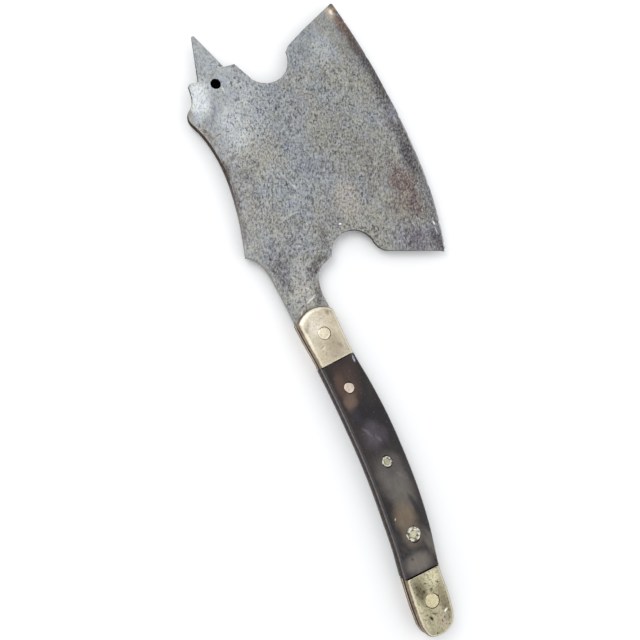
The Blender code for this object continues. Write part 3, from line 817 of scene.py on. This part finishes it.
class CleaverStudio(PropertyGroup):
    """Camera and light."""

    distance: length("Camera distance", "From the aim to the camera", 0.55, 0.1, 5.0)
    aim_x: length("Aim along", "Aim from the middle of the cleaver, towards the spike", 6.4 * MM, -1.0)
    aim_y: length("Aim across", "Aim from the middle of the cleaver, towards the back", 35.3 * MM, -1.0)
    tilt: angle("Tilt", "Camera's lean from straight overhead", 15.0)
    bearing: angle("Bearing", "Direction in which the camera leans, from +X", 93.54)
    roll: angle("Roll", "Direction of the view's top in the plan, from +X", -22.78)
    lens: FloatProperty(name="Lens", description="Focal length in millimetres", default=47.6, min=1.0)
    sky: FloatProperty(name="Sky", description="Strength of the even light all round", default=0.9, min=0.0)
    key: FloatProperty(name="Key light", description="Power of the main softbox", default=3.4, min=0.0,
                       subtype="POWER", unit="POWER")
    fill: FloatProperty(name="Fill light", description="Power of the second softbox", default=0.9, min=0.0,
                        subtype="POWER", unit="POWER")


def shape():
    return bpy.context.scene.cleaver_shape


def colours():
    return bpy.context.scene.cleaver_colours


def finish_named(name, maker):
    """A finish that several operators share, made once."""
    return bpy.data.materials.get(name) or maker(colours())


# ---------------------------------------------------------------- operators

class CLEAVER_OT_stage(Operator):
    """Lay a plain pale floor with a dark disc of painted shade under the hanging hole, hang soft lights and
    set the camera
    """

    bl_idname = "cleaver.stage"
    bl_label = "Stage"

    def execute(self, context):
        studio = context.scene.cleaver_studio
        to_object_mode()
        bpy.ops.mesh.primitive_plane_add(size=8.0, location=(CENTRE.x, CENTRE.y, CAD_LOW.z))
        floor = context.active_object
        floor.name = "floor"
        bpy.ops.object.transform_apply(location=True, rotation=True, scale=True)
        paper = Finish("floor_paper", Roughness=0.9)
        cloud = paper.noise(0.4, 2.0)
        tone = opaque(colours().floor)
        paper.set("Base Color", paper.blend(cloud, tone, paper.times(tone, 0.97, 0.97, 0.97)))
        floor.data.materials.append(paper.material)
        # A small dark disc of painted shade under the hanging hole
        self.pad()

        world = bpy.data.worlds.new("studio")
        world.use_nodes = True
        sky = world.node_tree.nodes["Background"]
        sky.inputs["Color"].default_value = (0.97, 0.985, 1.0, 1.0)
        sky.inputs["Strength"].default_value = studio.sky
        context.scene.world = world
        context.scene.view_settings.view_transform = "Standard"

        self.softbox("key_light", Vector((0.42, 0.34, 0.85)), 0.5, studio.key)
        self.softbox("fill_light", Vector((-0.5, -0.35, 0.9)), 0.7, studio.fill)
        self.camera(context, studio)
        return {"FINISHED"}

    def pad(self):
        """A small dark disc on the floor, painted shade where the camera looks through the hanging hole."""
        spot = (Vector(HANGING_HOLE) + Vector(SHADE_DISC_SHIFT)) * MM
        bpy.ops.mesh.primitive_circle_add(
            vertices=32, radius=SHADE_DISC_RADIUS, fill_type="NGON", location=(*spot, CAD_LOW.z + 0.1 * MM),
        )
        shade_disc = bpy.context.active_object
        shade_disc.name = "painted_shade_disc"
        bpy.ops.object.transform_apply(location=True, rotation=True, scale=True)
        shade_disc_finish = Finish("painted_shade_disc", Roughness=1.0, Specular_IOR_Level=0.0)
        shade_disc_finish.set("Base Color", shade_disc_finish.blend(shade_disc_finish.noise(0.6 * MM, 2.0), shade(6, 6, 6), shade(16, 16, 16)))
        shade_disc.data.materials.append(shade_disc_finish.material)

    def softbox(self, name, offset, size, power):
        bpy.ops.object.light_add(type="AREA", location=CENTRE + offset)
        light = bpy.context.active_object
        light.name = name
        light.rotation_euler = offset.to_track_quat("Z", "Y").to_euler()
        light.data.size = size
        light.data.energy = power

    def camera(self, context, studio):
        bearing = Vector((math.cos(studio.bearing), math.sin(studio.bearing), 0.0))
        back = bearing * math.sin(studio.tilt)
        back.z = math.cos(studio.tilt)
        top = Vector((math.cos(studio.roll), math.sin(studio.roll), 0.0))
        right = top.cross(back).normalized()
        axes = Matrix((right, back.cross(right), back)).transposed()
        aim = Vector((CENTRE.x + studio.aim_x, CENTRE.y + studio.aim_y, CAD_LOW.z))
        place = aim + back * studio.distance
        bpy.ops.object.camera_add(location=place, rotation=axes.to_euler())
        camera = context.active_object
        camera.name = "camera"
        camera.data.lens = studio.lens
        camera.data.sensor_width = 36.0
        camera.data.clip_start = 0.01
        context.scene.camera = camera


class CLEAVER_OT_blade(Operator):
    """Forge the blade and tang: worn rims, hammer hollows and a nicked edge"""

    bl_idname = "cleaver.blade"
    bl_label = "Blade"

    # Rims thinner than this aren't worn, and those thicker by the next are worn in full
    THIN = 0.8 * MM
    THICKER = 1.4 * MM
    # Share of a rim's wear in the row of points beside it
    BESIDE = 0.27

    def execute(self, context):
        sizes = shape()
        blade = copy_of("blade_and_tang", "blade")
        pick_faces(blade, lambda face: abs(face.normal.z) > LEVEL)
        bpy.ops.mesh.dissolve_limited(angle_limit=math.radians(5.0))
        pick_faces(blade, lambda face: abs(face.normal.z) > LEVEL)
        for share in (0.45, 0.55):
            bpy.ops.mesh.inset(thickness=share * sizes.rim_width, depth=0.0, use_even_offset=False)
        to_object_mode()
        self.weigh(blade)
        open_mesh(blade)
        low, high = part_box("blade_and_tang")
        slice_mesh(blade, 0, sizes.blade_cell, BLADE_START, high.x)
        slice_mesh(blade, 1, sizes.blade_cell, low.y, high.y)
        cad = frame["nodes"]["blade_and_tang"]
        apply_modifier(
            blade, "SHRINKWRAP", target=cad, wrap_method="PROJECT", use_project_z=True,
            use_positive_direction=True, use_negative_direction=True, project_limit=1.0 * MM,
            vertex_group="inner",
        )
        apply_modifier(
            blade, "DISPLACE", strength=-sizes.rim_wear, mid_level=0.0, vertex_group="rim",
        )
        hammer(blade, 22.0 * MM, sizes.blade_hollows, "field")
        self.nick(blade)
        hand_over(blade, "blade_steel", finish_named("forged_steel", forged_steel), "blade_and_tang")
        return {"FINISHED"}

    def nick(self, blade):
        """Small nicks in the cutting edge, which fade out within the ground zone."""
        for vert in blade.data.vertices:
            inside = vert.co.y - edge_height(vert.co.x)
            if vert.co.x < BLADE_START or inside > EDGE_ZONE:
                continue
            for place, depth, half_width in EDGE_NICKS:
                off = (vert.co.x - place * MM) / (half_width * MM)
                if abs(off) < 1.0:
                    vert.co.y += depth * MM * (1.0 - off * off) * (1.0 - max(inside, 0.0) / EDGE_ZONE)

    def weigh(self, blade):
        """Vertex groups for the rims, for what lies inside them and for the blade's open field."""
        mesh = bmesh.new()
        mesh.from_mesh(blade.data)
        rim, inner, field = [], [], []
        walls = {v for v in mesh.verts if any(abs(f.normal.z) < LEVEL for f in v.link_faces)}
        for vert in mesh.verts:
            thickness = 2.0 * abs(vert.co.z - CENTRE.z)
            worn = min(max((thickness - self.THIN) / self.THICKER, 0.0), 1.0)
            on_wall = vert in walls
            beside = not on_wall and any(e.other_vert(vert) in walls for e in vert.link_edges)
            rim.append(worn * (1.0 if on_wall else self.BESIDE if beside else 0.0))
            inner.append(0.0 if on_wall or beside else 1.0)
            field.append(0.0 if on_wall or beside or vert.co.x < BLADE_START else 1.0)
        mesh.free()
        set_group(blade, "rim", rim)
        set_group(blade, "inner", inner)
        set_group(blade, "field", field)


# Each pin, how far its head has spread past it and how far it is out of round, in mm
HEADS = (
    ("front_bolster", 0.2, 0.15), ("front_scale", 0.55, 0.6), ("middle_scale", 0.45, 0.45),
    ("rear_scale", 0.5, 0.5), ("butt_bolster", 0.22, 0.2),
)
PIN_NODES = tuple(f"{place}_pin" for place, _, _ in HEADS)
WASHER_NODES = ("middle_scale_washer_upper", "rear_scale_washer_upper")


def pick_rims(piece):
    """Selects, in edit mode, the sharp edges of a plate, but not those of its pin holes."""
    bpy.ops.mesh.select_mode(type="EDGE")
    bpy.ops.mesh.select_all(action="DESELECT")
    bpy.ops.mesh.edges_select_sharp(sharpness=SHARP_ANGLE)
    holes = []
    for node in PIN_NODES + WASHER_NODES:
        low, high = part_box(node)
        holes.append(((low + high) / 2.0, (high.x - low.x) / 2.0 + HOLE_MARGIN))
    mesh = bmesh.from_edit_mesh(piece.data)
    for edge in mesh.edges:
        middle = (edge.verts[0].co + edge.verts[1].co) / 2.0
        if edge.select and any((middle.xy - centre.xy).length < reach for centre, reach in holes):
            edge.select_set(False)
    mesh.select_flush_mode()
    bmesh.update_edit_mesh(piece.data)


def shape_plate(node, name, wave, wave_size):
    """A scale or bolster from its CAD node: snug on the tang, broken edges, uneven by hand."""
    sizes = shape()
    piece = copy_of(node, name)
    low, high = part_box(node)
    upper = low.z > CENTRE.z
    inside_z, outside_z = (low.z, high.z) if upper else (high.z, low.z)
    snug = (-1.0 if upper else 1.0) * (CAD_SEAM - sizes.seam)
    pick_faces(piece, lambda face: abs(face.normal.z) > FLAT)
    bpy.ops.mesh.dissolve_limited(angle_limit=math.radians(0.5))
    pick_verts(piece, lambda vert: abs(vert.co.z - inside_z) < SAME_POINT)
    bpy.ops.transform.translate(value=(0.0, 0.0, snug))
    if node.startswith("horn"):
        for end in (-1.0, 1.0):
            pick_faces(piece, lambda face: face.normal.x * end > 0.85)
            bpy.ops.transform.translate(value=(-end * sizes.joint_gap, 0.0, 0.0))
    pick_rims(piece)
    bpy.ops.mesh.bevel(offset=sizes.edge_break, segments=2, affect="EDGES")
    pick_faces(piece, lambda face: (
        abs(face.normal.z) > FLAT and abs(face.calc_center_median().z - outside_z) < 0.1 * MM
    ))
    bpy.ops.mesh.inset(thickness=sizes.rim_band, depth=0.0)
    mesh = bmesh.from_edit_mesh(piece.data)
    for face in mesh.faces:
        face.material_index = MARKED if face.select else 0
    bmesh.update_edit_mesh(piece.data)
    slice_mesh(piece, 0, sizes.handle_cell, low.x, high.x)
    slice_mesh(piece, 1, sizes.handle_cell, low.y, high.y, marked_only=True)
    mesh = bmesh.from_edit_mesh(piece.data)
    outer = [0.0 if abs(vert.co.z - inside_z) < 1.0 * MM else 1.0 for vert in mesh.verts]
    to_object_mode()
    set_group(piece, "outer", outer)
    hammer(piece, wave_size, wave, "outer", 0)
    return piece


class CLEAVER_OT_bolsters(Operator):
    """Cast and file the two pairs of pale bolsters"""

    bl_idname = "cleaver.bolsters"
    bl_label = "Bolsters"

    def execute(self, context):
        for end in ("front", "butt"):
            for side in ("upper", "lower"):
                node = f"{end}_bolster_{side}"
                piece = shape_plate(node, f"{end}_plate_{side}", shape().bolster_wave, 14.0 * MM)
                hand_over(piece, "bolster_metal", finish_named("pale_alloy", pale_alloy), node)
        return {"FINISHED"}


class CLEAVER_OT_horn(Operator):
    """Shape and polish the two horn scales"""

    bl_idname = "cleaver.horn"
    bl_label = "Horn scales"

    def execute(self, context):
        for side in ("upper", "lower"):
            node = f"horn_scale_{side}"
            piece = shape_plate(node, f"horn_{side}", shape().horn_wave, 24.0 * MM)
            hand_over(piece, "dark_horn", finish_named("polished_horn", dark_horn), node)
        return {"FINISHED"}


class CLEAVER_OT_pins(Operator):
    """Rivet the five pins through the handle and peen their heads"""

    bl_idname = "cleaver.pins"
    bl_label = "Pins"

    # Steps of a dome from its rim in: share of the radius and share of the height
    DOME_STEPS = ((0.05, 0.45), (0.10, 0.25), (0.20, 0.16), (0.25, 0.10), (0.2, 0.04))

    def execute(self, context):
        for place, spread, wobble in HEADS:
            self.rivet(f"{place}_pin", f"{place}_rivet", spread * MM, wobble * MM)
        return {"FINISHED"}

    def rivet(self, node, name, spread, wobble):
        sizes = shape()
        low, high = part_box(node)
        radius = (high.x - low.x) / 2.0 + spread
        to_object_mode()
        bpy.ops.mesh.primitive_cylinder_add(
            vertices=sizes.head_sides, radius=radius, depth=high.z - low.z - 2.0 * HEAD_DOME,
            location=(low + high) / 2.0,
        )
        piece = bpy.context.active_object
        piece.name = name
        piece.data.name = name
        bpy.ops.object.transform_apply(location=True, rotation=True, scale=True)
        open_mesh(piece)
        pick_faces(piece, lambda face: abs(face.normal.z) > 0.9)
        for share, rise in self.DOME_STEPS:
            bpy.ops.mesh.inset(thickness=share * radius, depth=rise * HEAD_DOME, use_individual=True)
        bpy.ops.mesh.poke()
        to_object_mode()
        shank = (high.z - low.z) / 2.0 - HEAD_DOME
        heads = [1.0 if abs(v.co.z - CENTRE.z) > shank else 0.0 for v in piece.data.vertices]
        set_group(piece, "heads", heads)
        hammer(piece, 1.6 * MM, 0.10 * MM, "heads")
        ruffle(piece, (low + high) / 2.0, wobble, wobble / MM * 8.0)
        hand_over(piece, "pin_brass", finish_named("peened_brass", peened_brass), node)


class CLEAVER_OT_washers(Operator):
    """Let the four hammered washers into the horn"""

    bl_idname = "cleaver.washers"
    bl_label = "Washers"

    def execute(self, context):
        for place, seed in (("middle_scale", 1.7), ("rear_scale", 4.1)):
            for side in ("upper", "lower"):
                self.washer(place, side, seed)
        return {"FINISHED"}

    def washer(self, place, side, seed):
        sizes = shape()
        node = f"{place}_washer_{side}"
        low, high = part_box(node)
        pin_low, pin_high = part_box(f"{place}_pin")
        outer = (high.x - low.x) / 2.0 + sizes.washer_spread
        inner = (pin_high.x - pin_low.x) / 2.0 + 0.3 * MM
        centre = (low + high) / 2.0
        to_object_mode()
        bpy.ops.mesh.primitive_circle_add(
            vertices=sizes.head_sides, radius=outer, fill_type="NGON", location=centre,
        )
        piece = bpy.context.active_object
        piece.name = f"{place}_ring_{side}"
        piece.data.name = piece.name
        bpy.ops.object.transform_apply(location=True, rotation=True, scale=True)
        open_mesh(piece)
        bpy.ops.mesh.select_all(action="SELECT")
        steps = 4
        for _ in range(steps):
            bpy.ops.mesh.inset(thickness=(outer - inner) / steps, depth=0.0)
        bpy.ops.mesh.delete(type="FACE")
        bpy.ops.mesh.select_all(action="SELECT")
        bpy.ops.transform.translate(value=(0.0, 0.0, -(high.z - low.z) / 2.0))
        bpy.ops.mesh.extrude_region_move(TRANSFORM_OT_translate={"value": (0.0, 0.0, high.z - low.z)})
        bpy.ops.mesh.select_all(action="SELECT")
        bpy.ops.mesh.normals_make_consistent(inside=False)
        bpy.ops.mesh.select_mode(type="EDGE")
        bpy.ops.mesh.select_all(action="DESELECT")
        bpy.ops.mesh.edges_select_sharp(sharpness=SHARP_ANGLE)
        bpy.ops.mesh.bevel(offset=0.15 * MM, segments=2, affect="EDGES")
        hammer(piece, 2.2 * MM, 0.16 * MM)
        ruffle(piece, centre, sizes.washer_spread, seed)
        hand_over(piece, "washer_metal", finish_named("silvered_washer", silvered_washer), node)


OPERATORS = (
    CLEAVER_OT_stage, CLEAVER_OT_blade, CLEAVER_OT_bolsters, CLEAVER_OT_horn, CLEAVER_OT_pins,
    CLEAVER_OT_washers,
)


class CLEAVER_PT_sidebar(Panel):
    """Buttons for each group of pieces, and the values that they use"""

    bl_label = "Cleaver"
    bl_idname = "CLEAVER_PT_sidebar"
    bl_space_type = "VIEW_3D"
    bl_region_type = "UI"
    bl_category = "Cleaver"

    def draw(self, context):
        for operator in OPERATORS:
            self.layout.operator(operator.bl_idname)
        scene = context.scene
        for group in (scene.cleaver_shape, scene.cleaver_colours, scene.cleaver_studio):
            box = self.layout.box()
            for name in group.__annotations__:
                box.prop(group, name)


CLASSES = (CleaverShape, CleaverColours, CleaverStudio, *OPERATORS, CLEAVER_PT_sidebar)


def register():
    for cls in CLASSES:
        bpy.utils.register_class(cls)
    bpy.types.Scene.cleaver_shape = PointerProperty(type=CleaverShape)
    bpy.types.Scene.cleaver_colours = PointerProperty(type=CleaverColours)
    bpy.types.Scene.cleaver_studio = PointerProperty(type=CleaverStudio)


def unregister():
    del bpy.types.Scene.cleaver_studio
    del bpy.types.Scene.cleaver_colours
    del bpy.types.Scene.cleaver_shape
    for cls in reversed(CLASSES):
        bpy.utils.unregister_class(cls)


def main():
    register()
    bpy.ops.cleaver.stage()
    bpy.ops.cleaver.blade()
    bpy.ops.cleaver.bolsters()
    bpy.ops.cleaver.horn()
    bpy.ops.cleaver.pins()
    bpy.ops.cleaver.washers()


if __name__ == "__main__":
    main()
